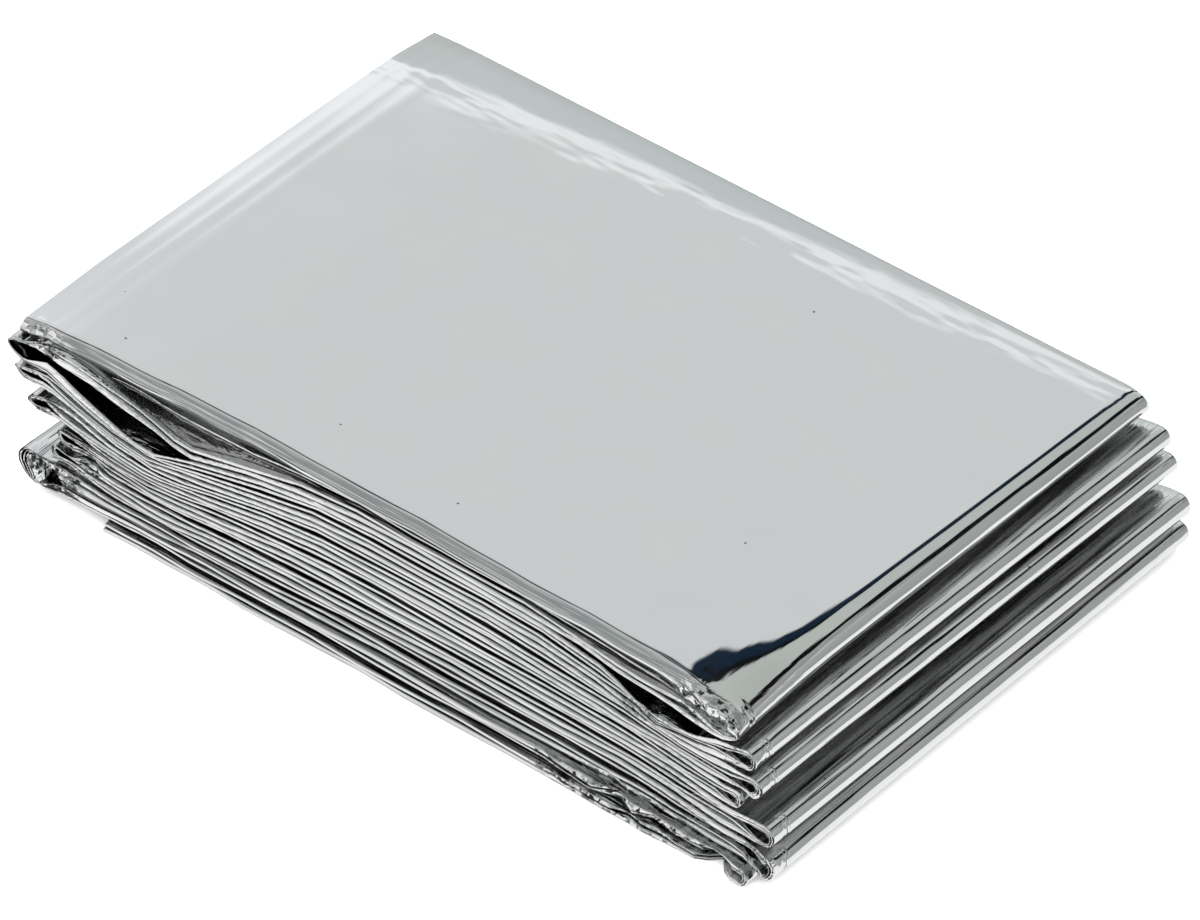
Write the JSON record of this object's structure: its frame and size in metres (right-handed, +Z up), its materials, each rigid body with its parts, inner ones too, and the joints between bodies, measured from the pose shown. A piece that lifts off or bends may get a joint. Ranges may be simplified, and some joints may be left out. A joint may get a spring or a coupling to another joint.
{
  "type": "emergency foil blanket",
  "caption": "Silver metallised film rescue blanket, folded back and forth to a pocket packet that lies flat.",
  "frame": {"origin": "middle of the packet's box, on the surface it lies on", "axes": "+X along the packet's long side towards its round folds, -Y towards the long side where the lengthwise folds show, +Z up"},
  "size_m": [0.1328, 0.0926, 0.026],
  "materials": {
    "silver_film": "mirror-bright metallised polyester film, lightly creased"
  },
  "bodies": {
    "root": {"blanket": "silver_film"}
  },
  "joints": []
}
